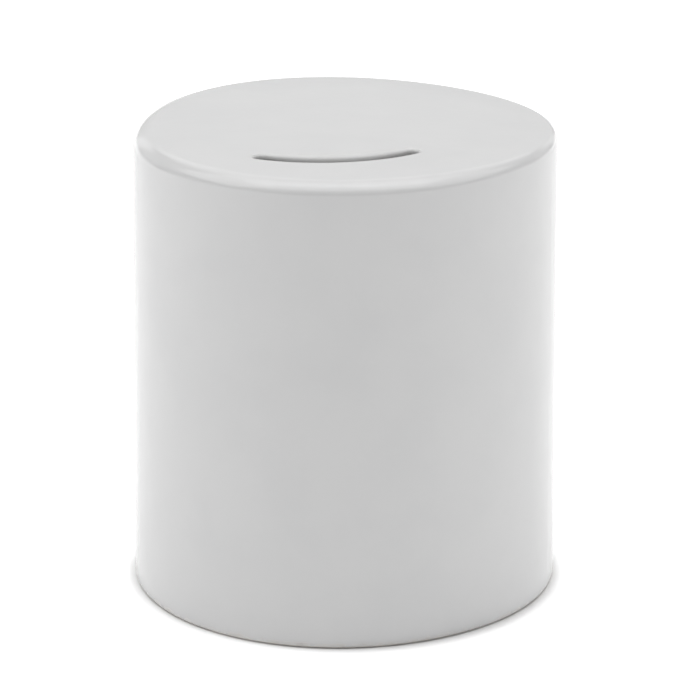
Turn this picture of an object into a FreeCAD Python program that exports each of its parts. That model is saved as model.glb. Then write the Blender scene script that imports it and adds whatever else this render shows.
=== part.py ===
"""A round money box: a one-piece slip-cast ceramic body, and the soft stopper in its base.

Millimetres, +Z up. The origin is on the body's axis, in the plane that its foot stands on.
-Y is the front: the coin slot is a shallow arc cut through the front half of the flat top.
"""
import FreeCAD, Part
import math
import os
import Sketcher

SIZES = {
    # body, outside: it narrows upwards by the draft that draws it from its mould
    "foot_diameter": 84.8,
    "top_diameter": 83.2,
    "body_height": 93.4,
    "shoulder_radius": 3.5,
    "foot_edge_radius": 1.0,
    # body, inside: the wall's thickness is measured at the top, and grows towards the foot
    "wall_thickness": 3.8,
    "top_thickness": 4.5,
    "base_thickness": 4.5,
    "ceiling_corner_radius": 3.0,
    "floor_corner_radius": 5.0,
    # underside: the foot ring, the recess inside it and the hole for the stopper
    "foot_ring_width": 5.0,
    "recess_depth": 3.2,
    "hole_diameter": 38.0,
    "hole_edge_radius": 0.8,
    # coin slot: an arc about a centre of its own, its span measured over its round ends
    "slot_centre_x": -4.45,
    "slot_centre_y": 4.25,
    "slot_arc_radius": 29.0,
    "slot_width": 4.3,
    "slot_span": 32.4,
    "slot_edge_radius": 0.4,
    # stopper: a flange with a pull tab, and a hollow skirt with two sealing beads
    "flange_diameter": 47.0,
    "flange_thickness": 1.8,
    "flange_edge_radius": 0.5,
    "seat_gap": 0.05,
    "skirt_height": 8.0,
    "skirt_wall": 2.0,
    "bead_clearance": 0.2,
    "bead_relief": 0.6,
    "bead_width": 1.4,
    "lower_bead_rise": 1.4,
    "upper_bead_rise": 5.4,
    "tab_width": 13.0,
    "tab_reach": 30.0,
    "tab_root_radius": 3.0,
}

TOLERANCE = 1e-4
FULL_TURN = 360.0
HORIZONTAL_AXIS = -1
VERTICAL_AXIS = -2
START, END, CENTRE = 1, 2, 3


def make_sheet(doc):
    """Write the driving sizes into a spreadsheet and give each cell its alias."""
    sheet = doc.addObject("Spreadsheet::Sheet", "Sizes")
    for row, (alias, value) in enumerate(SIZES.items(), start=1):
        sheet.set(f"A{row}", alias)
        sheet.set(f"B{row}", str(value))
        sheet.setAlias(f"B{row}", alias)
    doc.recompute()
    return sheet


def value(doc, expression):
    """The number that an expression on the sheet's cells comes to."""
    return float(doc.Sizes.evalExpression(expression))


def add_body(doc, name):
    """A new body whose label names its file."""
    body = doc.addObject("PartDesign::Body", name)
    body.Label = name
    return body


def add_sketch(body, name, role, level=None):
    """A sketch on one of the body's own origin planes, raised to a level above it."""
    plane = next(item for item in body.Origin.OriginFeatures if item.Role == role)
    sketch = body.newObject("Sketcher::SketchObject", name)
    sketch.AttachmentSupport = [(plane, "")]
    sketch.MapMode = "FlatFace"
    if level:
        sketch.setExpression("AttachmentOffset.Base.z", level)
    return sketch


def constrain(sketch, *arguments):
    """Add one geometric constraint."""
    sketch.addConstraint(Sketcher.Constraint(*arguments))


def dimension(sketch, expression, *arguments):
    """Add one dimension and bind it to an expression on the sheet."""
    size = value(sketch.Document, expression)
    index = sketch.addConstraint(Sketcher.Constraint(*arguments, size))
    sketch.setExpression(f"Constraints[{index}]", expression)


def add_arc(sketch, centre, radius, start, end):
    """An arc between two angles in radians, counted anticlockwise from the sketch's X axis."""
    circle = Part.Circle(centre, FreeCAD.Vector(0, 0, 1), radius)
    return sketch.addGeometry(Part.ArcOfCircle(circle, start, end), False)


def add_stepped_profile(sketch, corners):
    """A closed outline of level and upright lines through (radius, height) corners.

    A corner's radius and height are expressions on the sheet, and "0" is the axis or the foot
    plane. Each upright line carries one radius, and each level line one height.
    """
    doc = sketch.Document
    points = [FreeCAD.Vector(value(doc, radius), value(doc, height), 0) for radius, height in corners]
    following = points[1:] + points[:1]
    lines = [
        sketch.addGeometry(Part.LineSegment(here, there), False) for here, there in zip(points, following)
    ]
    for index, line in enumerate(lines):
        after = (index + 1) % len(lines)
        upright = corners[index][0] == corners[after][0]
        size = corners[index][0 if upright else 1]
        constrain(sketch, "Coincident", line, END, lines[after], START)
        constrain(sketch, "Vertical" if upright else "Horizontal", line)
        if size == "0":
            constrain(sketch, "PointOnObject", line, START, VERTICAL_AXIS if upright else HORIZONTAL_AXIS)
        else:
            along = "DistanceX" if upright else "DistanceY"
            dimension(sketch, size, along, HORIZONTAL_AXIS, START, line, START)


def add_pad(body, name, sketch, length):
    """Raise a sketch into a solid."""
    pad = body.newObject("PartDesign::Pad", name)
    pad.Profile = sketch
    pad.setExpression("Length", length)
    body.Document.recompute()
    return pad


def add_turned(body, kind, name, sketch):
    """Turn a profile a full turn about the body's axis, as a Revolution or a Groove."""
    feature = body.newObject(kind, name)
    feature.Profile = sketch
    feature.ReferenceAxis = (sketch, ["V_Axis"])
    feature.Angle = FULL_TURN
    body.Document.recompute()
    return feature


def ring_edges(feature, radius, height):
    """Names of the round edges that lie level at a height and have a radius, both expressions."""
    doc = feature.Document
    size = value(doc, radius)
    level = value(doc, height)
    names = []
    for index, edge in enumerate(feature.Shape.Edges, start=1):
        box = edge.BoundBox
        if not isinstance(edge.Curve, Part.Circle) or box.ZLength > TOLERANCE:
            continue
        if abs(box.ZMin - level) < TOLERANCE and abs(edge.Curve.Radius - size) < TOLERANCE:
            names.append(f"Edge{index}")
    if not names:
        raise RuntimeError(f"{feature.Label} has no edge of radius {radius} at {height}")
    return names


def add_fillet(body, name, base, edges, radius):
    """Round named edges of the feature before."""
    fillet = body.newObject("PartDesign::Fillet", name)
    fillet.Base = (base, edges)
    fillet.setExpression("Radius", radius)
    body.Document.recompute()
    return fillet


def require_less(feature, base):
    """A cut that points away from the solid takes nothing off, so its volume is compared."""
    if feature.Shape.Volume > base.Shape.Volume - 1.0:
        raise RuntimeError(f"{feature.Label} cut nothing")


def require_more(feature, base):
    """The same for a feature that adds."""
    if feature.Shape.Volume < base.Shape.Volume + 1.0:
        raise RuntimeError(f"{feature.Label} added nothing")


def make_ceramic_body(doc):
    """The shell: a drafted cylinder, hollowed, with the stopper's hole and the coin slot."""
    foot_radius = "Sizes.foot_diameter / 2"
    top_radius = "Sizes.top_diameter / 2"
    cavity = "Sizes.top_diameter / 2 - Sizes.wall_thickness"
    recess = "Sizes.foot_diameter / 2 - Sizes.foot_ring_width"
    hole = "Sizes.hole_diameter / 2"
    top = "Sizes.body_height"
    ceiling = "Sizes.body_height - Sizes.top_thickness"
    underside = "Sizes.recess_depth"
    floor = "Sizes.recess_depth + Sizes.base_thickness"

    body = add_body(doc, "ceramic_body")
    solid = body.newObject("PartDesign::AdditiveCone", "BodySolid")
    solid.setExpression("Radius1", foot_radius)
    solid.setExpression("Radius2", top_radius)
    solid.setExpression("Height", top)
    doc.recompute()
    rim = ring_edges(solid, top_radius, top)
    shoulder = add_fillet(body, "Shoulder", solid, rim, "Sizes.shoulder_radius")

    # One stepped profile hollows the foot recess, the stopper's hole and the cavity.
    inside = add_sketch(body, "InsideProfile", "XZ_Plane")
    add_stepped_profile(
        inside,
        [
            ("0", "0"),
            (recess, "0"),
            (recess, underside),
            (hole, underside),
            (hole, floor),
            (cavity, floor),
            (cavity, ceiling),
            ("0", ceiling),
        ],
    )
    hollow = add_turned(body, "PartDesign::Groove", "Hollow", inside)
    require_less(hollow, shoulder)

    edges = ring_edges(hollow, foot_radius, "0") + ring_edges(hollow, recess, "0")
    foot = add_fillet(body, "FootEdges", hollow, edges, "Sizes.foot_edge_radius")
    edges = ring_edges(foot, hole, underside) + ring_edges(foot, hole, floor)
    mouth = add_fillet(body, "HoleEdges", foot, edges, "Sizes.hole_edge_radius")
    edges = ring_edges(mouth, cavity, floor)
    lower = add_fillet(body, "FloorCorner", mouth, edges, "Sizes.floor_corner_radius")
    edges = ring_edges(lower, cavity, ceiling)
    upper = add_fillet(body, "CeilingCorner", lower, edges, "Sizes.ceiling_corner_radius")
    slot = cut_coin_slot(body, upper)
    round_slot_edges(body, slot, [top, ceiling])
    return body


def cut_coin_slot(body, base):
    """Cut the slot down through the top: two arcs about one centre, closed by round ends."""
    doc = body.Document
    outer = "Sizes.slot_arc_radius + Sizes.slot_width / 2"
    inner = "Sizes.slot_arc_radius - Sizes.slot_width / 2"
    reach = "(Sizes.slot_span - Sizes.slot_width) / 2"
    arc_radius = value(doc, "Sizes.slot_arc_radius")
    half_angle = math.asin(value(doc, reach) / arc_radius)
    end_radius = value(doc, "Sizes.slot_width / 2")
    centre = FreeCAD.Vector(value(doc, "Sizes.slot_centre_x"), value(doc, "Sizes.slot_centre_y"), 0)
    to_left = FreeCAD.Vector(-math.sin(half_angle), -math.cos(half_angle), 0)
    to_right = FreeCAD.Vector(math.sin(half_angle), -math.cos(half_angle), 0)
    front = 1.5 * math.pi
    from_angle = front - half_angle
    to_angle = front + half_angle

    sketch = add_sketch(body, "SlotOutline", "XY_Plane", level="Sizes.body_height")
    front_edge = add_arc(sketch, centre, value(doc, outer), from_angle, to_angle)
    back_edge = add_arc(sketch, centre, value(doc, inner), from_angle, to_angle)
    left_end = add_arc(
        sketch, centre + to_left * arc_radius, end_radius, from_angle - math.pi, from_angle
    )
    right_end = add_arc(sketch, centre + to_right * arc_radius, end_radius, to_angle, to_angle + math.pi)
    constrain(sketch, "Coincident", front_edge, CENTRE, back_edge, CENTRE)
    constrain(sketch, "Tangent", front_edge, START, left_end, END)
    constrain(sketch, "Tangent", left_end, START, back_edge, START)
    constrain(sketch, "Tangent", back_edge, END, right_end, END)
    constrain(sketch, "Tangent", right_end, START, front_edge, END)
    dimension(sketch, "Sizes.slot_centre_x", "DistanceX", HORIZONTAL_AXIS, START, front_edge, CENTRE)
    dimension(sketch, "Sizes.slot_centre_y", "DistanceY", HORIZONTAL_AXIS, START, front_edge, CENTRE)
    dimension(sketch, outer, "Radius", front_edge)
    dimension(sketch, inner, "Radius", back_edge)
    dimension(sketch, reach, "DistanceX", left_end, CENTRE, front_edge, CENTRE)
    dimension(sketch, reach, "DistanceX", front_edge, CENTRE, right_end, CENTRE)

    # The cut goes on into the cavity, so that it leaves no skin under the top.
    slot = body.newObject("PartDesign::Pocket", "CoinSlot")
    slot.Profile = sketch
    slot.setExpression("Length", "Sizes.top_thickness * 1.5")
    doc.recompute()
    require_less(slot, base)
    return slot


def round_slot_edges(body, slot, levels):
    """Round the slot's upper and lower edge, as a damp sponge does before firing."""
    radii = [
        "Sizes.slot_arc_radius + Sizes.slot_width / 2",
        "Sizes.slot_arc_radius - Sizes.slot_width / 2",
        "Sizes.slot_width / 2",
    ]
    edges = [name for level in levels for radius in radii for name in ring_edges(slot, radius, level)]
    return add_fillet(body, "SlotEdges", slot, edges, "Sizes.slot_edge_radius")


def make_base_stopper(doc):
    """The stopper: a flange under the base, and a cup-shaped skirt that pushes up into the hole."""
    flange = "Sizes.flange_diameter / 2"
    bead = "Sizes.hole_diameter / 2 - Sizes.bead_clearance"
    skirt = bead + " - Sizes.bead_relief"
    bore = skirt + " - Sizes.skirt_wall"
    seat = "Sizes.recess_depth - Sizes.seat_gap"
    bottom = seat + " - Sizes.flange_thickness"
    lower_start = seat + " + Sizes.lower_bead_rise"
    lower_end = lower_start + " + Sizes.bead_width"
    upper_start = seat + " + Sizes.upper_bead_rise"
    upper_end = upper_start + " + Sizes.bead_width"
    lip = seat + " + Sizes.skirt_height"

    body = add_body(doc, "base_stopper")
    profile = add_sketch(body, "StopperProfile", "XZ_Plane")
    add_stepped_profile(
        profile,
        [
            ("0", bottom),
            (flange, bottom),
            (flange, seat),
            (skirt, seat),
            (skirt, lower_start),
            (bead, lower_start),
            (bead, lower_end),
            (skirt, lower_end),
            (skirt, upper_start),
            (bead, upper_start),
            (bead, upper_end),
            (skirt, upper_end),
            (skirt, lip),
            (bore, lip),
            (bore, seat),
            ("0", seat),
        ],
    )
    turned = add_turned(body, "PartDesign::Revolution", "StopperSolid", profile)
    tab = add_pull_tab(body, turned, bottom)

    # The moulded edges: the flange's rim and the skirt's lip.
    rims = ring_edges(tab, flange, bottom) + ring_edges(tab, "Sizes.tab_width / 2", bottom)
    rim = add_fillet(body, "FlangeRim", tab, rims, "Sizes.flange_edge_radius")
    lips = ring_edges(rim, skirt, lip) + ring_edges(rim, bore, lip)
    add_fillet(body, "SkirtLip", rim, lips, "Sizes.flange_edge_radius")
    return body


def add_pull_tab(body, base, bottom):
    """A round-ended tongue on the flange's back edge, to pull the stopper out by."""
    doc = body.Document
    half_width = "Sizes.tab_width / 2"
    straight = "Sizes.tab_reach - Sizes.tab_width / 2"
    side = value(doc, half_width)
    length = value(doc, straight)
    sketch = add_sketch(body, "TabOutline", "XY_Plane", level=bottom)
    corners = [
        FreeCAD.Vector(side, length, 0),
        FreeCAD.Vector(side, 0, 0),
        FreeCAD.Vector(-side, 0, 0),
        FreeCAD.Vector(-side, length, 0),
    ]
    right, front, left = [
        sketch.addGeometry(Part.LineSegment(here, there), False)
        for here, there in zip(corners, corners[1:])
    ]
    end = add_arc(sketch, FreeCAD.Vector(0, length, 0), side, 0, math.pi)
    constrain(sketch, "Coincident", right, END, front, START)
    constrain(sketch, "Coincident", front, END, left, START)
    constrain(sketch, "Tangent", left, END, end, END)
    constrain(sketch, "Tangent", end, START, right, START)
    constrain(sketch, "Vertical", right)
    constrain(sketch, "Vertical", left)
    constrain(sketch, "PointOnObject", front, START, HORIZONTAL_AXIS)
    constrain(sketch, "PointOnObject", front, END, HORIZONTAL_AXIS)
    constrain(sketch, "PointOnObject", end, CENTRE, VERTICAL_AXIS)
    dimension(sketch, half_width, "Radius", end)
    dimension(sketch, straight, "DistanceY", HORIZONTAL_AXIS, START, end, CENTRE)
    tab = add_pad(body, "PullTab", sketch, "Sizes.flange_thickness")
    require_more(tab, base)

    # The two inner corners where the tongue leaves the flange.
    roots = []
    for index, edge in enumerate(tab.Shape.Edges, start=1):
        box = edge.BoundBox
        upright = box.XLength < TOLERANCE and box.YLength < TOLERANCE
        if upright and abs(abs(box.XMin) - side) < TOLERANCE and box.YMin < length:
            roots.append(f"Edge{index}")
    return add_fillet(body, "TabRoots", tab, roots, "Sizes.tab_root_radius")


def check_document(doc):
    """Stop if any feature failed, or if a piece is not one valid solid."""
    for item in doc.Objects:
        if "Invalid" in item.State or "Error" in item.State:
            raise RuntimeError(f"{item.Label} failed: {item.State}")
        if item.TypeId == "Sketcher::SketchObject" and not item.FullyConstrained:
            raise RuntimeError(f"{item.Label} is not fully constrained")
        if item.TypeId != "PartDesign::Body":
            continue
        if item.Shape.isNull() or not item.Shape.isValid() or len(item.Shape.Solids) != 1:
            raise RuntimeError(f"{item.Label} is not one valid solid")


def write_parts(doc):
    """Write one STEP file for each piece, named after its label."""
    os.makedirs("parts", exist_ok=True)
    for body in doc.findObjects("PartDesign::Body"):
        body.Shape.exportStep(os.path.join("parts", f"{body.Label}.step"))
        box = body.Shape.BoundBox
        print(f"{body.Label}: {body.Shape.Volume:.0f} mm3, z {box.ZMin:.2f} to {box.ZMax:.2f}")


document = FreeCAD.newDocument("MoneyBox")
make_sheet(document)
make_ceramic_body(document)
make_base_stopper(document)
document.recompute()
check_document(document)
write_parts(document)
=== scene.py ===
"""A round ceramic money box: its glazed shell with a curved coin slot, and the soft stopper in its base.

Metres, +Z up. The origin is on the shell's axis, in the plane that its foot stands on, and -Y is the
front. Angles go anticlockwise from +X, seen from above.
"""

import math

import bpy
import numpy as np
from mathutils import Matrix, Vector


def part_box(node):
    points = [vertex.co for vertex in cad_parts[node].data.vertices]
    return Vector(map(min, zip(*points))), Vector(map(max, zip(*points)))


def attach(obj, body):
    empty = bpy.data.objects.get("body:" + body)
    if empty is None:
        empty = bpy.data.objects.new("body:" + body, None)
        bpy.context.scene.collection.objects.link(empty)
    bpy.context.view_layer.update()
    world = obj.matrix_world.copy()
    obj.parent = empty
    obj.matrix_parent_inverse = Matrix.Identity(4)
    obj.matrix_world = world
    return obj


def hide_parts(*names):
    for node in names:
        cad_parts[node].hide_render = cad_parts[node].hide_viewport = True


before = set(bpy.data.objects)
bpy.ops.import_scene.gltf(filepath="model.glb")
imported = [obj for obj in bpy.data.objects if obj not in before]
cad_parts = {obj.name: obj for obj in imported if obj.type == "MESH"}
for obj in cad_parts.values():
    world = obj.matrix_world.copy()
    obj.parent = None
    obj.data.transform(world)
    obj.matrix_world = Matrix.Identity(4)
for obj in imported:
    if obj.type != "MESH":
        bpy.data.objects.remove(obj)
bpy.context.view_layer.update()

# ----------------------------------------------------------------------------------------------
# Ceramic body. One shell of white earthenware, slip-cast in a plaster mould, so its walls are about
# 4 mm thick and narrow slightly upwards. The slot and the stopper's hole are cut in the damp clay,
# their edges are sponged round, and the piece is dipped in a satin white glaze and its foot wiped.
# ----------------------------------------------------------------------------------------------
MM = 0.001

shell_low, shell_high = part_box("ceramic_body")
foot_radius = (shell_high.x - shell_low.x) / 2
rim_radius = foot_radius - 0.8 * MM
shell_height = shell_high.z

wall_radius = rim_radius - 3.8 * MM
ceiling_level = shell_height - 4.5 * MM
floor_level = 7.7 * MM
recess_radius = foot_radius - 5.0 * MM
recess_level = 3.2 * MM
hole_radius = 19.0 * MM
foot_round = 1.0 * MM
hole_round = 0.8 * MM
floor_round = 5.0 * MM
ceiling_round = 3.0 * MM
slot_round_front = 0.4 * MM
slot_round_back = 1.5 * MM
slot_round_under = 0.8 * MM
slot_round_loss = 0.55

slot_centre = np.array([-4.45, 4.2]) * MM
slot_arc = 29.0 * MM
slot_half_width = 2.0 * MM
slot_taper = 0.45 * MM
slot_reach = 14.3 * MM

thin_glaze_width = 0.8 * MM

COLUMNS = 560
SHOULDER_ROWS = 27


def ease(x, start, end):
    """0 before start and 1 after end, with the cubic 3t^2 - 2t^3 between them."""
    t = np.clip((x - start) / (end - start), 0.0, 1.0)
    return t * t * (3.0 - 2.0 * t)


def bend(centre_radius, centre_level, radius, first, last, rows):
    """Radius and level along a rounded corner: its centre plus radius times the cosine and sine of
    angles that go evenly from first to last, in degrees. Sizes may vary round the shell."""
    turn = np.radians(np.linspace(first, last, rows))[:, None]
    return centre_radius + radius * np.cos(turn), centre_level + radius * np.sin(turn)


def run(start, end, rows):
    """Radius and level along a straight run between two corners, which the corners' own rows close."""
    share = (np.arange(rows) + 1.0)[:, None] / (rows + 1.0)
    return start[0] + (end[0] - start[0]) * share, start[1] + (end[1] - start[1]) * share


def slot_course(angles):
    """Where on the slot's edge each column of the shell ends: how far along the arc, as an angle, and
    the direction that the edge faces there. The front edge answers to the shell's angles from 220 to
    320 degrees, the back edge to 20 to 160, and the round ends to the angles between."""
    half_angle = math.asin(slot_reach / slot_arc)
    corners = np.radians([220.0, 320.0, 380.0, 520.0, 580.0])
    along = np.array([-half_angle, half_angle, half_angle, -half_angle, -half_angle])
    facing = np.array([-1.0, 1.0, 1.0, -1.0, -1.0]) * half_angle
    facing += np.array([0.0, 0.0, math.pi, math.pi, 2.0 * math.pi])
    wrapped = np.mod(angles - corners[0], 2.0 * math.pi) + corners[0]
    return np.interp(wrapped, corners, along), np.interp(wrapped, corners, facing)


def slot_outline(angles, offset):
    """The slot's outline, moved outwards by offset: a point of the arc, plus half the width in the
    direction that the edge faces. The width falls with the square of the way to either end."""
    along, facing = slot_course(angles)
    reach = slot_half_width - slot_taper * (slot_arc * np.sin(along) / slot_reach) ** 2 + offset
    x = slot_centre[0] + slot_arc * np.sin(along) + reach * np.sin(facing)
    y = slot_centre[1] - slot_arc * np.cos(along) - reach * np.cos(facing)
    return x, y


def slot_rounding(angles):
    """The upper edge's radius: small in front, where the cutter came out clean, and larger at the back,
    where the sponge was drawn along it. What the back has over the front falls with the square of the
    way to either end, and has lost the share slot_round_loss there."""
    along, facing = slot_course(angles)
    way = slot_arc * np.sin(along) / slot_reach
    back = (0.5 - 0.5 * np.cos(facing)) * (1.0 - slot_round_loss * way**2)
    return slot_round_front + (slot_round_back - slot_round_front) * back


lobe_height = 0.35 * MM
# For the front, the right, the back and the left of the shoulder: its upper radius, its lower radius,
# and the slope in degrees from the vertical at which the upper one has half given way to the lower.
shoulder_sizes = np.array([
    [4.0 * MM, 1.2 * MM, 33.0],
    [0.8 * MM, 2.6 * MM, 48.0],
    [3.6 * MM, 3.6 * MM, 45.0],
    [4.6 * MM, 4.0 * MM, 45.0],
])
shoulder_blend = 9.0
rim_slope = math.radians(3.6)
rim_droop_width = 11.0 * MM
tip_height = 0.23 * MM
twist_height = 0.35 * MM
kiln_sink = 0.22 * MM
kiln_hold = 0.3 * shell_height
round_hold = 1.2 * hole_radius
set_angle = math.radians(7.9)


def kiln_shape(x, y, z):
    """The small errors of a cast and fired piece. Its plan is a circle plus lobes, as the cosine of
    three times the angle less the cosine of the angle, and stays round out to round_hold, past the
    stopper's hole. Its top tips with x and twists with x times y, less a small sink that keeps its
    highest point at the full height, and nothing below kiln_hold moves up or down."""
    radius = np.hypot(x, y)
    angle = np.arctan2(y, x) + set_angle
    lobes = lobe_height * (np.cos(3.0 * angle) - np.cos(angle))
    swell = 1.0 + lobes * ease(radius, round_hold, wall_radius) / np.maximum(radius, hole_radius)
    across = radius * np.cos(angle) / foot_radius
    away = radius * np.sin(angle) / foot_radius
    lift = -(tip_height * across + twist_height * across * away) - kiln_sink
    return x * swell, y * swell, z + lift * ease(z, kiln_hold, ceiling_level)


def shoulder_profile(angles, draft):
    """How far inside the rim and below the shoulder's start each of its points is. Each stretch of the
    curve turns a little further down, and is as long as its radius times that turn. The radius goes
    from an upper one to a lower one about a middle slope, and all three change round the shell.
    Slopes are in degrees from the vertical: a level top is 90, and an upright side is 0."""
    around = angles + set_angle
    weights = [
        np.clip(-np.sin(around), 0.0, 1.0),
        np.clip(np.cos(around), 0.0, 1.0) ** 4,
        np.clip(np.sin(around), 0.0, 1.0),
        np.clip(-np.cos(around), 0.0, 1.0) ** 4,
    ]
    share = np.stack(weights, axis=-1) / np.sum(weights, axis=0)[:, None]
    upper, lower, middle = (share @ shoulder_sizes).T
    slope = np.linspace(90.0 - math.degrees(rim_slope), draft, SHOULDER_ROWS)[:, None]
    halfway = (slope[1:] + slope[:-1]) / 2.0
    radius = lower + (upper - lower) * ease(halfway, middle - shoulder_blend, middle + shoulder_blend)
    length = radius * np.radians(slope[:-1] - slope[1:])
    start = np.zeros((1, len(angles)))
    out = np.concatenate([start, np.cumsum(length * np.sin(np.radians(halfway)), axis=0)])
    down = np.concatenate([start, np.cumsum(length * np.cos(np.radians(halfway)), axis=0)])
    return out[-1] - out, down


def shell_rings():
    """Every ring of the shell as x, y and z, with its share of bare clay and of thin glaze. The bare
    clay on the foot's outer rounding is also painted contact shade. The section is walked from the
    slot's upper edge over the outside, under the foot, up through the stopper's hole, over the inside,
    and back up the slot's wall, and each ring closes on itself."""
    angles = np.linspace(0.0, 2.0 * math.pi, COLUMNS, endpoint=False)
    draft = np.degrees((foot_radius - rim_radius) / shell_height)
    shoulder_in, shoulder_down = shoulder_profile(angles, draft)
    outer = rim_radius - shoulder_in[0]
    droop_start = rim_radius - rim_droop_width
    droop_height = math.tan(rim_slope) * (outer - droop_start) / 2.0
    rings = []

    def add_rings(x, y, z, bare_clay_and_foot_shade=0.0, thin=0.0):
        rings.append(np.stack(np.broadcast_arrays(x, y, z, bare_clay_and_foot_shade, thin)))

    def add_round(section, bare_clay_and_foot_shade=0.0, thin=0.0):
        radius, level = section
        add_rings(radius * np.cos(angles), radius * np.sin(angles), level + 0.0 * angles, bare_clay_and_foot_shade, thin)

    def droop(radius):
        return droop_height * np.clip((radius - droop_start) / (outer - droop_start), 0.0, None) ** 2

    # The slot's upper edge, sponged round.
    edge = slot_rounding(angles)
    turn = np.radians(np.linspace(0.0, 90.0, 10))[:, None]
    x, y = slot_outline(angles, edge * (1.0 - np.cos(turn)))
    add_rings(x, y, shell_height - edge * (1.0 - np.sin(turn)), thin=1.0)

    # The top face: each column goes straight from the slot to the shoulder.
    share = np.linspace(0.0, 1.0, 26)[1:-1, None]
    share = 0.5 * share**2 + 0.5 * share**0.9
    inner_x, inner_y = slot_outline(angles, edge)
    x = inner_x + (outer * np.cos(angles) - inner_x) * share
    y = inner_y + (outer * np.sin(angles) - inner_y) * share
    gap = np.hypot(x - inner_x, y - inner_y)
    add_rings(x, y, shell_height - droop(np.hypot(x, y)), thin=1.0 - ease(gap, 0.0, thin_glaze_width))

    # The shoulder, which meets the drooping rim and the drafted side without a corner.
    shoulder_top = shell_height - droop_height
    add_round((rim_radius - shoulder_in, shoulder_top - shoulder_down))

    # The side, down to the foot, and the wiped foot ring.
    side_top = (rim_radius, shoulder_top - shoulder_down[-1])
    side_foot = (foot_radius, foot_round)
    add_round(run(side_top, side_foot, rows=22))
    ring_outer = foot_radius - foot_round
    ring_inner = recess_radius + foot_round
    # The outer rounding is marked as bare clay, darker than the glaze, as painted contact shade: the
    # dark line where the foot meets the floor.
    add_round(bend(ring_outer, foot_round, foot_round, 0.0, -30.0, rows=4), bare_clay_and_foot_shade=0.5)
    add_round(bend(ring_outer, foot_round, foot_round, -40.0, -90.0, rows=6), bare_clay_and_foot_shade=1.0)
    add_round(run((ring_outer, 0.0), (ring_inner, 0.0), rows=4), bare_clay_and_foot_shade=1.0)
    add_round(bend(ring_inner, foot_round, foot_round, -90.0, -180.0, rows=7), bare_clay_and_foot_shade=0.5)

    # The recess under the base, whose corner the glaze fills, and the stopper's hole.
    corner = recess_radius - foot_round
    add_round(bend(corner, recess_level - foot_round, foot_round, 0.0, 90.0, rows=5))
    add_round(run((corner, recess_level), (hole_radius + hole_round, recess_level), rows=6))
    lower = recess_level + hole_round
    upper = floor_level - hole_round
    add_round(bend(hole_radius + hole_round, lower, hole_round, 270.0, 180.0, rows=6), thin=1.0)
    add_round(run((hole_radius, lower), (hole_radius, upper), rows=2), bare_clay_and_foot_shade=0.5)
    add_round(bend(hole_radius + hole_round, upper, hole_round, 180.0, 90.0, rows=6), bare_clay_and_foot_shade=1.0)

    # The inside is bare clay, as it came from the mould.
    corner = wall_radius - floor_round
    add_round(run((hole_radius + hole_round, floor_level), (corner, floor_level), rows=4), bare_clay_and_foot_shade=1.0)
    add_round(bend(corner, floor_level + floor_round, floor_round, -90.0, 0.0, rows=8), bare_clay_and_foot_shade=1.0)
    low = (wall_radius, floor_level + floor_round)
    high = (wall_radius, ceiling_level - ceiling_round)
    add_round(run(low, high, rows=7), bare_clay_and_foot_shade=1.0)
    corner = wall_radius - ceiling_round
    add_round(bend(corner, ceiling_level - ceiling_round, ceiling_round, 0.0, 90.0, rows=7), bare_clay_and_foot_shade=1.0)
    share = np.linspace(1.0, 0.0, 12)[1:-1, None]
    under_x, under_y = slot_outline(angles, slot_round_under)
    x = under_x + (corner * np.cos(angles) - under_x) * share
    y = under_y + (corner * np.sin(angles) - under_y) * share
    add_rings(x, y, ceiling_level + 0.0 * x, bare_clay_and_foot_shade=1.0)

    # The slot's lower edge and its wall, glazed part of the way down.
    turn = np.radians(np.linspace(90.0, 0.0, 6))[:, None]
    x, y = slot_outline(angles, slot_round_under * (1.0 - np.cos(turn)))
    add_rings(x, y, ceiling_level + slot_round_under * (1.0 - np.sin(turn)), bare_clay_and_foot_shade=1.0)
    share = np.linspace(0.0, 1.0, 6)[1:-1, None]
    x, y = slot_outline(angles, 0.0 * share)
    wall = shell_height - ceiling_level - slot_round_under - edge
    add_rings(x, y, ceiling_level + slot_round_under + wall * share, bare_clay_and_foot_shade=0.8 - share)
    return np.concatenate(rings, axis=1)


def grid_faces(rows, columns, close_rows):
    """Quads between neighbouring points of a grid whose rows close on themselves: each point, the next
    one along, and the same two of the row after. The last row joins the first if close_rows is set."""
    row = np.arange(rows if close_rows else rows - 1)[:, None]
    column = np.arange(columns)[None, :]
    after = (row + 1) % rows
    beside = (column + 1) % columns
    corners = [row * columns + column, after * columns + column, after * columns + beside]
    corners.append(row * columns + beside)
    return np.stack(corners, axis=-1).reshape(-1, 4)


def make_piece(name, points, faces, attributes):
    """A smooth-shaded mesh object at the origin, with one number a point for each named attribute."""
    mesh = bpy.data.meshes.new(name)
    mesh.from_pydata(points.tolist(), [], [list(face) for face in faces])
    for label, values in attributes.items():
        layer = mesh.attributes.new(label, "FLOAT", "POINT")
        layer.data.foreach_set("value", values.astype(np.float32).ravel())
    mesh.shade_smooth()
    mesh.validate()
    piece = bpy.data.objects.new(name, mesh)
    bpy.context.scene.collection.objects.link(piece)
    return piece


class Signal:
    """A shader node's output. Arithmetic on it adds Math nodes, so that a pattern reads as a sum."""

    def __init__(self, finish, socket):
        self.finish = finish
        self.socket = socket

    def combine(self, operation, first, second):
        return self.finish.node("ShaderNodeMath", {"operation": operation}, {0: first, 1: second})

    def __add__(self, other):
        return self.combine("ADD", self, other)

    __radd__ = __add__

    def __sub__(self, other):
        return self.combine("SUBTRACT", self, other)

    def __rsub__(self, other):
        return self.combine("SUBTRACT", other, self)

    def __mul__(self, other):
        return self.combine("MULTIPLY", self, other)

    __rmul__ = __mul__


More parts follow.
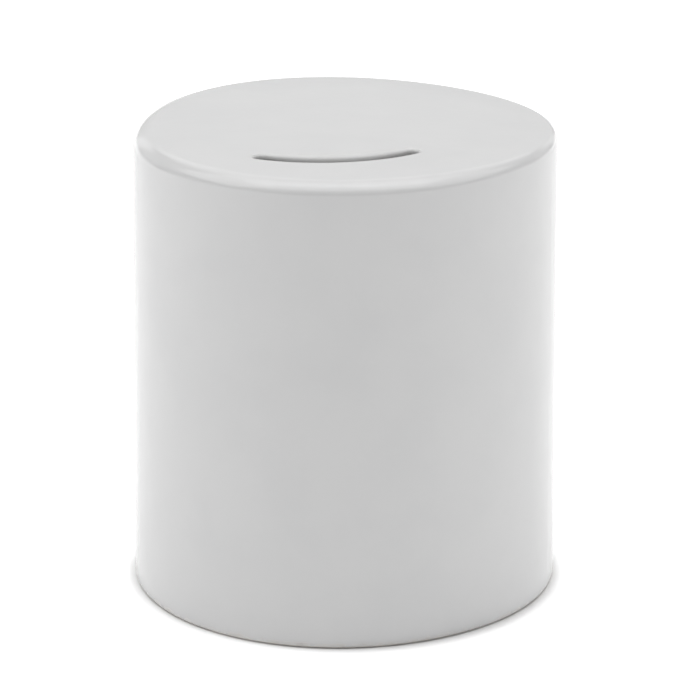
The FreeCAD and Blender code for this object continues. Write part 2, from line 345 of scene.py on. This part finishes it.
class Finish:
    """A material and the nodes that make it."""

    def __init__(self, name):
        self.material = bpy.data.materials.new(name)
        self.material.use_nodes = True
        self.tree = self.material.node_tree
        self.shader = self.tree.nodes["Principled BSDF"]

    def node(self, kind, settings, inputs, output=0):
        """Add a node: its settings first, then a value or a link for each of its sockets."""
        node = self.tree.nodes.new(kind)
        for name, setting in settings.items():
            setattr(node, name, setting)
        self.feed(node, inputs)
        return Signal(self, node.outputs[output])

    def feed(self, node, inputs):
        """Set a node's sockets, by name or number."""
        for name, given in inputs.items():
            if isinstance(given, Signal):
                self.tree.links.new(given.socket, node.inputs[name])
            else:
                node.inputs[name].default_value = given

    def place(self):
        """Where a point is on the piece, in metres."""
        return self.node("ShaderNodeTexCoord", {}, {}, "Object")

    def painted(self, name):
        """A number that the mesh carries at each point."""
        return self.node("ShaderNodeAttribute", {"attribute_name": name}, {}, "Fac")

    def noise(self, size, detail, roughness=0.5):
        """Soft noise from 0 to 1, whose patches are about that size."""
        inputs = {"Vector": self.place(), "Scale": 1.0 / size, "Detail": detail, "Roughness": roughness}
        return self.node("ShaderNodeTexNoise", {}, inputs)

    def step(self, signal, start, end):
        """0 where the signal is under start and 1 where it is over end, smooth between them."""
        inputs = {"Value": signal, "From Min": start, "From Max": end}
        return self.node("ShaderNodeMapRange", {"interpolation_type": "SMOOTHSTEP"}, inputs)

    def mix(self, factor, first, second):
        """The first colour where the factor is 0, and the second where it is 1."""
        return self.node("ShaderNodeMix", {"data_type": "RGBA"}, {0: factor, 6: first, 7: second}, 2)


GLAZE_WHITE = (0.755, 0.755, 0.755, 1.0)
GLAZE_CLOUD = (0.735, 0.736, 0.738, 1.0)
GLAZE_THIN = (0.70, 0.695, 0.685, 1.0)
CLAY_WHITE = (0.70, 0.675, 0.64, 1.0)
# Darker clay for scuffs and pinholes. On the foot's outer rounding it is also painted contact shade.
CLAY_WORN_AND_SHADE = (0.46, 0.45, 0.44, 1.0)


def satin_glaze():
    """White satin glaze on white clay. Soft clouds of colour and of gloss, an orange-peel skin, a few
    pinholes, a thinner coat along cut edges, and bare gritty clay on the foot and inside. The darker
    clay on the foot's outer rounding is painted contact shade."""
    finish = Finish("satin_glaze")
    # The bare-clay mask. On the foot's outer rounding it is painted contact shade.
    bare_clay_and_foot_shade = finish.step(finish.painted("bare_clay_and_foot_shade") + 0.25 * (finish.noise(2.5 * MM, 3.0) - 0.5), 0.45, 0.6)
    thin = finish.painted("thin") * finish.step(finish.noise(4.0 * MM, 2.0), 0.2, 0.8)
    clouds = finish.step(finish.noise(14.0 * MM, 4.0), 0.35, 0.75)
    peel = finish.noise(1.6 * MM, 2.0)
    swell = finish.noise(9.0 * MM, 1.0)
    grit = finish.noise(0.35 * MM, 5.0, 0.7)
    scuff = finish.step(finish.noise(6.0 * MM, 5.0, 0.7), 0.5, 0.75)

    cells = {"Vector": finish.place(), "Scale": 1.0 / (6.5 * MM)}
    near = finish.node("ShaderNodeTexVoronoi", {}, cells, "Distance")
    chance = finish.node("ShaderNodeTexVoronoi", {}, cells, "Color")
    chance = finish.node("ShaderNodeSeparateColor", {}, {"Color": chance}, 0)
    pinhole = (1.0 - finish.step(near, 0.012, 0.024)) * finish.step(chance, 0.80, 0.82)

    glaze = finish.mix(clouds, GLAZE_WHITE, GLAZE_CLOUD)
    glaze = finish.mix(0.6 * thin, glaze, GLAZE_THIN)
    glaze = finish.mix(0.35 * pinhole, glaze, CLAY_WORN_AND_SHADE)
    # Scuffed clay darkens towards the worn colour, which on the foot's outer rounding is painted contact
    # shade.
    clay = finish.mix(0.7 * scuff, CLAY_WHITE, CLAY_WORN_AND_SHADE)
    colour = finish.mix(bare_clay_and_foot_shade, glaze, clay)
    roughness = 0.14 + 0.04 * clouds + 0.08 * thin + 0.25 * pinhole
    roughness = roughness + bare_clay_and_foot_shade * (0.86 - roughness)

    height = (1.0 - bare_clay_and_foot_shade) * (0.25 * peel + 1.0 * swell - 1.2 * pinhole) + bare_clay_and_foot_shade * (0.7 * grit - 0.6)
    relief = {"Height": height, "Strength": 1.0, "Distance": 0.03 * MM}
    bump = finish.node("ShaderNodeBump", {}, relief, "Normal")
    shine = {"Base Color": colour, "Roughness": roughness, "Normal": bump, "IOR": 1.5}
    finish.feed(finish.shader, shine)
    return finish.material


x, y, z, bare_clay_and_foot_shade, thin = shell_rings()
x, y, z = kiln_shape(x, y, z)
points = np.stack([x, y, z], axis=-1).reshape(-1, 3)
faces = grid_faces(len(x), COLUMNS, close_rows=True)
shell = make_piece("ceramic_shell", points, faces, {"bare_clay_and_foot_shade": bare_clay_and_foot_shade, "thin": thin})
shell.data.materials.append(satin_glaze())
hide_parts("ceramic_body")
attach(shell, "body")

# ----------------------------------------------------------------------------------------------
# Base stopper. One piece of soft milky vinyl, injection-moulded: a flat flange with a pull tab, and a
# hollow skirt with two beads that squeeze into the hole. It is pushed in from below by hand.
# ----------------------------------------------------------------------------------------------
stopper_low, stopper_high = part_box("base_stopper")
flange_under = stopper_low.z
lip_level = stopper_high.z
seat_level = recess_level - 0.05 * MM
flange_radius = 23.5 * MM
flange_round = 0.5 * MM
flange_upper_round = 0.25 * MM
skirt_radius = hole_radius - 0.8 * MM
bead_height = 0.6 * MM
bead_half_width = 0.7 * MM
bead_rises = (2.1 * MM, 6.1 * MM)
skirt_fillet = 0.3 * MM
bore_radius = skirt_radius - 2.0 * MM
lip_round = 0.5 * MM
cup_round = 1.0 * MM
tab_radius = 6.5 * MM
tab_root = 3.0 * MM
tab_centre = flange_radius

# The moulded marks of the underside: how deep or high each is, and the two radii, or distances from
# its own middle or along the tab, between which it fades in or out.
dish_depth = 0.45 * MM
dish_edge = (13.2 * MM, 14.0 * MM)
gate_height = 0.25 * MM
gate_edge = (1.1 * MM, 1.5 * MM)
line_depth = 0.22 * MM
line_radius = 20.6 * MM
line_edge = (0.1 * MM, 0.45 * MM)
grip_depth = 0.38 * MM
grip_edge = (3.6 * MM, 4.1 * MM)
grip_spacing = 1.7 * MM
grip_first = 25.6 * MM
grip_start = (23.9 * MM, 24.75 * MM)
grip_end = (28.15 * MM, 29.0 * MM)

STOPPER_COLUMNS = 360
STOPPER_EVEN = 0.35


def flange_outline(share, inset):
    """The flange's edge, moved inwards by inset, at a share from 0 to 1 of the way round from the middle
    of the front. It is a chain of arcs, each a centre plus a radius in a turning direction: the flange
    round to the tab, a hollow root, the tab's round end, the other root, and the flange again."""
    root_reach = flange_radius + tab_root
    tip_reach = tab_radius + tab_root
    squares = root_reach**2 + tab_centre**2 - tip_reach**2
    root_angle = math.acos(squares / (2.0 * root_reach * tab_centre))
    root_x = root_reach * math.sin(root_angle)
    root_y = root_reach * math.cos(root_angle)
    tip_angle = math.atan2(root_x, root_y - tab_centre)
    # Directions are measured from +Y, clockwise; the right half runs from the front to the tab's tip.
    lengths = np.array([
        flange_radius * (math.pi - root_angle),
        tab_root * (tip_angle - root_angle),
        tab_radius * tip_angle,
    ])
    ends = np.concatenate([[0.0], np.cumsum(lengths)])
    side = np.where(share < 0.5, 1.0, -1.0)
    gone = np.where(share < 0.5, share, 1.0 - share) * 2.0 * ends[-1]
    on_flange = gone < ends[1]
    on_root = (gone >= ends[1]) & (gone < ends[2])
    flange_turn = math.pi - gone / flange_radius
    root_turn = root_angle + (gone - ends[1]) / tab_root
    tip_turn = (ends[3] - gone) / tab_radius
    turn = np.where(on_flange, flange_turn, np.where(on_root, root_turn, tip_turn))
    off_flange = np.where(on_root, -(tab_root + inset), tab_radius - inset)
    reach = np.where(on_flange, flange_radius - inset, off_flange)
    centre_x = np.where(on_root, root_x, 0.0)
    centre_y = np.where(on_flange, 0.0, np.where(on_root, root_y, tab_centre))
    return side * (centre_x + reach * np.sin(turn)), centre_y + reach * np.cos(turn)


def under_relief(x, y):
    """How far the underside is sunk: a shallow round dish with a gate mark standing in its middle, a
    fine moulded line inside the flange's edge, and grip grooves across the tab, two deep and a faint
    one either side. The grooves are a cosine of the way along the tab, raised to lie from 0 to 1."""
    radius = np.hypot(x, y)
    dish = dish_depth * (1.0 - ease(radius, *dish_edge))
    gate = -gate_height * (1.0 - ease(radius, *gate_edge))
    line = line_depth * (1.0 - ease(np.abs(radius - line_radius), *line_edge))
    beat = 0.5 + 0.5 * np.cos((y - grip_first) * 2.0 * math.pi / grip_spacing)
    width = 1.0 - ease(np.abs(x), *grip_edge)
    length = ease(y, *grip_start) * (1.0 - ease(y, *grip_end))
    return dish + gate + line + grip_depth * beat * width * length


def stopper_rings():
    """Every ring of the stopper as x, y and z: the underside from near its middle out to the flange's
    edge, round the edge, in over the seat, up the beaded skirt, over its lip, down the bore and in
    over the floor of the cup. Its columns lie between evenly spread and straight in from the edge,
    by the share in STOPPER_EVEN."""
    share = np.arange(STOPPER_COLUMNS) / STOPPER_COLUMNS
    edge_x, edge_y = flange_outline(share, flange_round)
    straight = np.unwrap(np.arctan2(edge_x, -edge_y))
    bearing = straight * (1.0 - STOPPER_EVEN) + 2.0 * math.pi * share * STOPPER_EVEN
    direction_x = np.sin(bearing)
    direction_y = -np.cos(bearing)
    rings = []

    def add_rings(x, y, z):
        shape = (len(x), STOPPER_COLUMNS)
        rings.append(np.stack([np.broadcast_to(value, shape) for value in (x, y, z)]))

    def add_round(radius, level):
        radius = radius[:, None]
        add_rings(radius * direction_x, radius * direction_y, level[:, None] + 0.0 * direction_x)

    # The underside: round rings, closer at the gate mark, the dish's edge and the moulded line, and
    # then a fan out to the flange's edge.
    line_reach = line_edge[1]
    radii = np.concatenate([
        np.array([0.15, 0.5, 0.9, 1.1, 1.2, 1.3, 1.4, 1.5, 1.8]) * MM,
        np.array([4.0, 7.0, 10.0, 12.5, 13.1]) * MM,
        np.linspace(*dish_edge, 7),
        np.array([14.2, 16.0, 18.0, 19.8, 20.1]) * MM,
        np.linspace(line_radius - line_reach, line_radius + line_reach, 11),
        np.array([21.2, 21.6]) * MM,
    ])
    x = radii[:, None] * direction_x
    y = radii[:, None] * direction_y
    add_rings(x, y, flange_under + under_relief(x, y))
    fan = np.linspace(0.0, 1.0, 34)[1:-1, None]
    x = x[-1] + (edge_x - x[-1]) * fan
    y = y[-1] + (edge_y - y[-1]) * fan
    add_rings(x, y, flange_under + under_relief(x, y))

    # The flange's moulded edge: round below, and nearly sharp above, where the mould closes.
    turn = np.radians(np.linspace(-90.0, 0.0, 7))[:, None]
    x, y = flange_outline(share, flange_round * (1.0 - np.cos(turn)))
    add_rings(x, y, flange_under + flange_round * (1.0 + np.sin(turn)))
    turn = np.radians(np.linspace(0.0, 90.0, 5))[:, None]
    x, y = flange_outline(share, flange_upper_round * (1.0 - np.cos(turn)))
    add_rings(x, y, seat_level - flange_upper_round * (1.0 - np.sin(turn)))

    # The seat face, in to the skirt.
    foot = skirt_radius + skirt_fillet
    edge_x, edge_y = flange_outline(share, flange_upper_round)
    fan = np.linspace(1.0, 0.0, 6)[1:, None]
    x = foot * direction_x + (edge_x - foot * direction_x) * fan
    y = foot * direction_y + (edge_y - foot * direction_y) * fan
    add_rings(x, y, seat_level + 0.0 * x)

    # The skirt: a plain tube that swells into a rounded bead at two levels.
    level = np.linspace(seat_level + skirt_fillet, lip_level - lip_round, 54)
    swell = 0.0
    for rise in bead_rises:
        away = (level - seat_level - rise) / bead_half_width
        swell = swell + bead_height * np.sqrt(np.clip(1.0 - away**2, 0.0, 1.0))
    add_round(skirt_radius + swell, level)
    turn = np.radians(np.linspace(0.0, 90.0, 5))[1:]
    fall = lip_round * (1.0 - np.sin(turn))
    add_round(skirt_radius - lip_round * (1.0 - np.cos(turn)), lip_level - fall)
    turn = np.radians(np.linspace(90.0, 0.0, 5))
    fall = lip_round * (1.0 - np.sin(turn))
    add_round(bore_radius + lip_round * (1.0 - np.cos(turn)), lip_level - fall)
    level = np.linspace(lip_level - lip_round, seat_level + cup_round, 6)[1:-1]
    add_round(np.full(4, bore_radius), level)
    turn = np.radians(np.linspace(0.0, 90.0, 6))
    radius = bore_radius - cup_round * (1.0 - np.cos(turn))
    add_round(radius, seat_level + cup_round * (1.0 - np.sin(turn)))
    add_round(np.array([12.0, 7.0, 3.0, 0.15]) * MM, np.full(4, seat_level))
    return np.concatenate(rings, axis=1)


VINYL_MILK = (0.73, 0.72, 0.69, 1.0)
VINYL_DEEP = (0.66, 0.645, 0.60, 1.0)
VINYL_DUST = (0.52, 0.50, 0.47, 1.0)


def soft_vinyl():
    """Milky soft vinyl: faint flow clouds from the gate, a fine spark-eroded grain, and a little dust
    that clings to it."""
    finish = Finish("soft_vinyl")
    flow = finish.step(finish.noise(5.0 * MM, 3.0), 0.3, 0.7)
    grain = finish.noise(0.28 * MM, 3.0, 0.6)
    dust = finish.step(finish.noise(1.1 * MM, 6.0, 0.75), 0.62, 0.78)
    colour = finish.mix(flow, VINYL_MILK, VINYL_DEEP)
    colour = finish.mix(0.3 * dust, colour, VINYL_DUST)
    roughness = 0.42 + 0.08 * flow + 0.12 * dust
    height = grain + 0.4 * flow
    relief = {"Height": height, "Strength": 1.0, "Distance": 0.012 * MM}
    bump = finish.node("ShaderNodeBump", {}, relief, "Normal")
    shine = {"Base Color": colour, "Roughness": roughness, "Normal": bump, "IOR": 1.48}
    finish.feed(finish.shader, shine)
    depth = {"Subsurface Weight": 0.25, "Subsurface Radius": (1.2, 1.0, 0.8), "Subsurface Scale": MM}
    finish.feed(finish.shader, depth)
    return finish.material


rings = stopper_rings()
rows = rings.shape[1]
points = np.moveaxis(rings, 0, -1).reshape(-1, 3)
faces = grid_faces(rows, STOPPER_COLUMNS, close_rows=False)[:, ::-1]
stopper_faces = [list(face) for face in faces]
first_ring = list(range(STOPPER_COLUMNS))
last_ring = list(range((rows - 1) * STOPPER_COLUMNS, rows * STOPPER_COLUMNS))
stopper_faces += [first_ring[::-1], last_ring]
stopper = make_piece("stopper_skin", points, stopper_faces, {})
stopper.data.materials.append(soft_vinyl())
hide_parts("base_stopper")
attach(stopper, "stopper")

# ----------------------------------------------------------------------------------------------
# Studio: a plain white sweep that glows a little, soft lights round it, and a long lens.
# ----------------------------------------------------------------------------------------------
SWEEP_RADIUS = 4.0
OPENING_RADIUS = foot_radius - 2.0 * MM

PAPER_WHITE = (0.93, 0.93, 0.93, 1.0)
# Emission of the paper: a painted contact shadow round the foot, and painted glow round it and far off
# that also lights the object.
GLOW_IN_PAINTED_SHADOW = (0.035, 0.035, 0.035, 1.0)
GLOW_ROUND = (0.42, 0.42, 0.42, 1.0)
GLOW_FAR = (1.1, 1.1, 1.1, 1.0)
painted_shadow_edge = (foot_radius - 0.5 * MM, foot_radius + 2.5 * MM)
far_edge = (0.4, 0.9)


def white_sweep():
    """Matt white paper with painted glow, an emission that also lights the object's lower side: hardly
    any where the object stands, which paints a contact shadow round its foot, more round it, and most
    where the lamps do not reach. It is clear from its under side, so that the object's base shows."""
    finish = Finish("white_sweep")
    away = finish.node("ShaderNodeVectorMath", {"operation": "LENGTH"}, {0: finish.place()}, "Value")
    # Little glow near the axis: a painted contact shadow round the foot.
    near = finish.step(away, *painted_shadow_edge)
    far = finish.step(away, *far_edge)
    glow = finish.mix(near, GLOW_IN_PAINTED_SHADOW, GLOW_ROUND)
    glow = finish.mix(far, glow, GLOW_FAR)
    finish.feed(finish.shader, {"Base Color": PAPER_WHITE, "Roughness": 0.95})
    finish.feed(finish.shader, {"Emission Color": glow, "Emission Strength": 1.0})
    below = finish.node("ShaderNodeNewGeometry", {}, {}, "Backfacing")
    clear = finish.node("ShaderNodeBsdfTransparent", {}, {}, "BSDF")
    paper = Signal(finish, finish.shader.outputs["BSDF"])
    surface = finish.node("ShaderNodeMixShader", {}, {0: below, 1: paper, 2: clear}, "Shader")
    finish.feed(finish.tree.nodes["Material Output"], {"Surface": surface})
    return finish.material


# The sweep is a flat ring: the foot ring stands on its inner edge, and the base is lit through it.
SWEEP_COLUMNS = 128
turn = np.linspace(0.0, 2.0 * math.pi, SWEEP_COLUMNS, endpoint=False)
reach = np.array([OPENING_RADIUS, SWEEP_RADIUS])[:, None]
points = np.stack([reach * np.cos(turn), reach * np.sin(turn), 0.0 * reach * turn], axis=-1)
faces = grid_faces(2, SWEEP_COLUMNS, close_rows=False)
sweep = make_piece("studio_sweep", points.reshape(-1, 3), faces, {})
sweep.data.materials.append(white_sweep())

LIGHT_DISTANCE = 0.9


def soft_light(name, azimuth, elevation, width, height, power):
    """An oblong area light, LIGHT_DISTANCE from the object's middle and looking at it. Azimuth is from
    the camera's side, to the right, and elevation is above the floor, both in degrees. Its width and
    height are in metres, and its power is in watts."""
    lamp = bpy.data.lights.new(name, "AREA")
    lamp.shape = "RECTANGLE"
    lamp.size = width
    lamp.size_y = height
    lamp.energy = power
    light = bpy.data.objects.new(name, lamp)
    light.visible_camera = False
    bpy.context.scene.collection.objects.link(light)
    around = math.radians(azimuth) - set_angle
    above = math.radians(elevation)
    level = math.cos(above)
    out = Vector((math.sin(around) * level, -math.cos(around) * level, math.sin(above)))
    middle = Vector((0.0, 0.0, shell_height / 2))
    turn = out.to_track_quat("Z", "Y").to_matrix().to_4x4()
    light.matrix_world = Matrix.Translation(middle + out * LIGHT_DISTANCE) @ turn


soft_light("overhead", 0.0, 79.0, 1.0, 0.5, 3.6)
soft_light("overhead_back", 180.0, 78.0, 0.9, 0.45, 2.7)
soft_light("left_front", -60.0, 6.0, 0.5, 0.5, 0.4)
soft_light("right_front", 60.0, 6.0, 0.5, 0.5, 0.25)
soft_light("left_low", -92.0, 0.0, 0.6, 0.4, 0.35)
soft_light("right_low", 92.0, 0.0, 0.6, 0.4, 0.65)
soft_light("left", -90.0, 48.0, 0.7, 0.4, 1.5)
soft_light("right", 90.0, 48.0, 0.7, 0.4, 1.2)
soft_light("left_back", -138.0, 12.0, 0.6, 0.45, 0.45)
soft_light("right_back", 138.0, 12.0, 0.6, 0.45, 0.41)
soft_light("back_low", 180.0, 14.0, 1.2, 0.45, 0.86)
soft_light("back", 180.0, 45.0, 0.8, 0.5, 1.09)
soft_light("underneath", 0.0, -89.0, 0.6, 0.6, 6.0)

# The air gives no light, so that the lamps model the shape, but is white to the camera itself.
AIR_WHITE = 1.1
world = bpy.data.worlds.new("studio")
bpy.context.scene.world = world
world.use_nodes = True
air = world.node_tree.nodes["Background"]
air.inputs["Color"].default_value = (1.0, 1.0, 1.0, 1.0)
looked_at = world.node_tree.nodes.new("ShaderNodeLightPath")
strength = world.node_tree.nodes.new("ShaderNodeMapRange")
strength.inputs["To Min"].default_value = 0.0
strength.inputs["To Max"].default_value = AIR_WHITE
world.node_tree.links.new(looked_at.outputs["Is Camera Ray"], strength.inputs["Value"])
world.node_tree.links.new(strength.outputs["Result"], air.inputs["Strength"])

camera_elevation = math.radians(18.63)
camera_azimuth = -set_angle
camera_distance = 0.7183
camera_roll = math.radians(0.11)
target = Vector((0.0, 0.0, 0.0465))
back = Vector((
    math.sin(camera_azimuth) * math.cos(camera_elevation),
    -math.cos(camera_azimuth) * math.cos(camera_elevation),
    math.sin(camera_elevation),
))
lens = bpy.data.cameras.new("camera")
lens.sensor_width = 36.0
lens.lens = 184.9
lens.shift_x = 0.0076
lens.shift_y = 0.0008
camera = bpy.data.objects.new("camera", lens)
bpy.context.scene.collection.objects.link(camera)
camera.matrix_world = (
    Matrix.Translation(target + back * camera_distance)
    @ back.to_track_quat("Z", "Y").to_matrix().to_4x4()
    @ Matrix.Rotation(camera_roll, 4, "Z")
)
bpy.context.scene.camera = camera
bpy.context.scene.view_settings.view_transform = "Standard"
